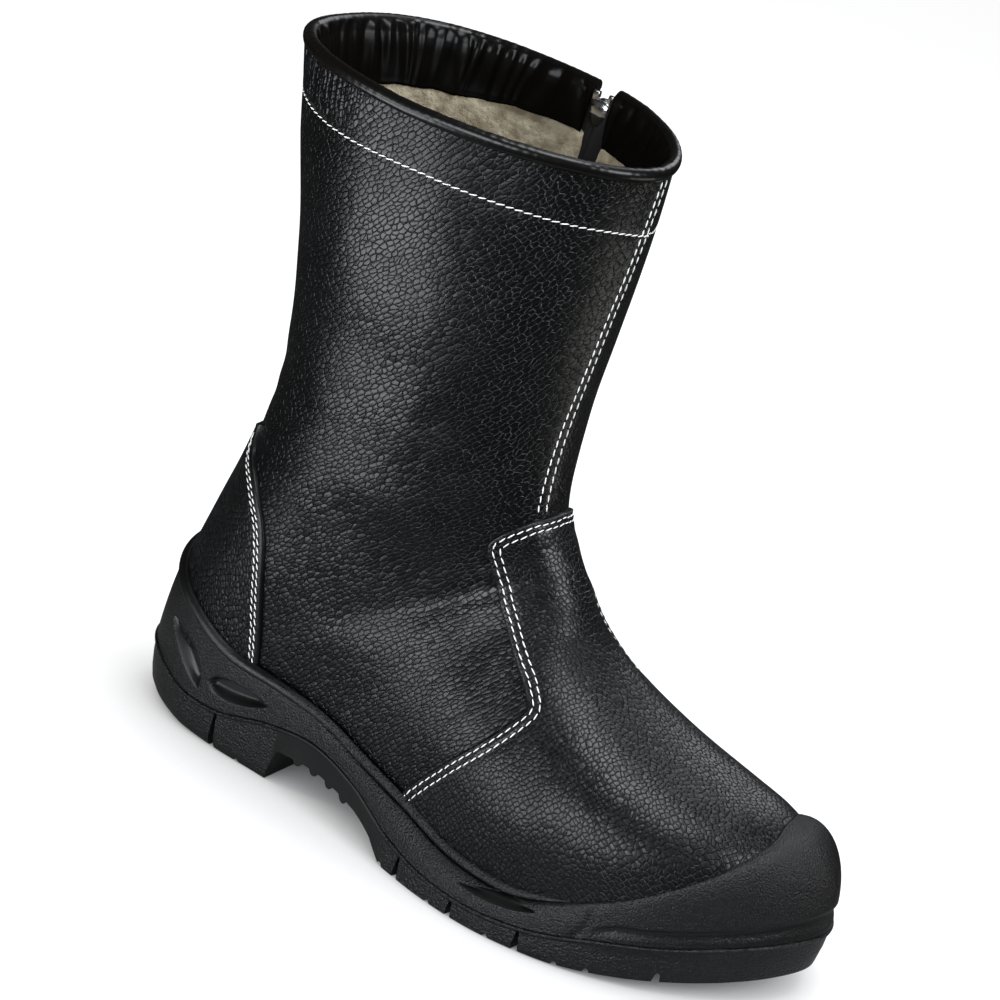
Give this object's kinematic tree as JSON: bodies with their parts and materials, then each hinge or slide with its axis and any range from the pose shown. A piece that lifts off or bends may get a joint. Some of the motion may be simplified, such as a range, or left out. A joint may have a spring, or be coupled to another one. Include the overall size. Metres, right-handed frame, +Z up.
{
  "type": "tall safety boot",
  "caption": "Tall black grained-leather safety boot for the right foot, with a fleece lining, padded collar, inner-side zip, moulded scuff cap and lugged sole.",
  "frame": {"origin": "middle of the heel's tread, on the floor", "axes": "+X from heel to toe, +Y towards the inner side of the foot, +Z up the shaft"},
  "size_m": [0.3244, 0.139, 0.3036],
  "materials": {
    "grained_leather": "black pebble grain, semi-gloss",
    "panel_leather": "black pebble grain, semi-gloss",
    "collar_leather": "smooth soft black leather, pleated",
    "midsole_pu": "matte black, fine moulded grain",
    "outsole_pu": "matte black, fine moulded grain",
    "footbed_pile": "cream pile",
    "zip_tape_fabric": "black woven tape",
    "zip_teeth_nylon": "black nylon coil",
    "zip_metal": "satin gunmetal"
  },
  "bodies": {
    "boot": {"upper": "grained_leather", "vamp_panel": "panel_leather", "counter_panel": "panel_leather", "collar_roll": "collar_leather", "midsole": "midsole_pu", "outsole": "outsole_pu", "insole": "footbed_pile", "zip_tape": "zip_tape_fabric", "zip_chain": "zip_teeth_nylon", "zip_slider": "zip_metal"},
    "pull": {"zip_pull": "zip_metal"}
  },
  "joints": [
    {"name": "pull_swing", "type": "hinge", "parent": "boot", "child": "pull", "pos_m": [0.05097, 0.07197, 0.291], "axis": [1, 0, 0], "range_deg": [0, 120]}
  ]
}
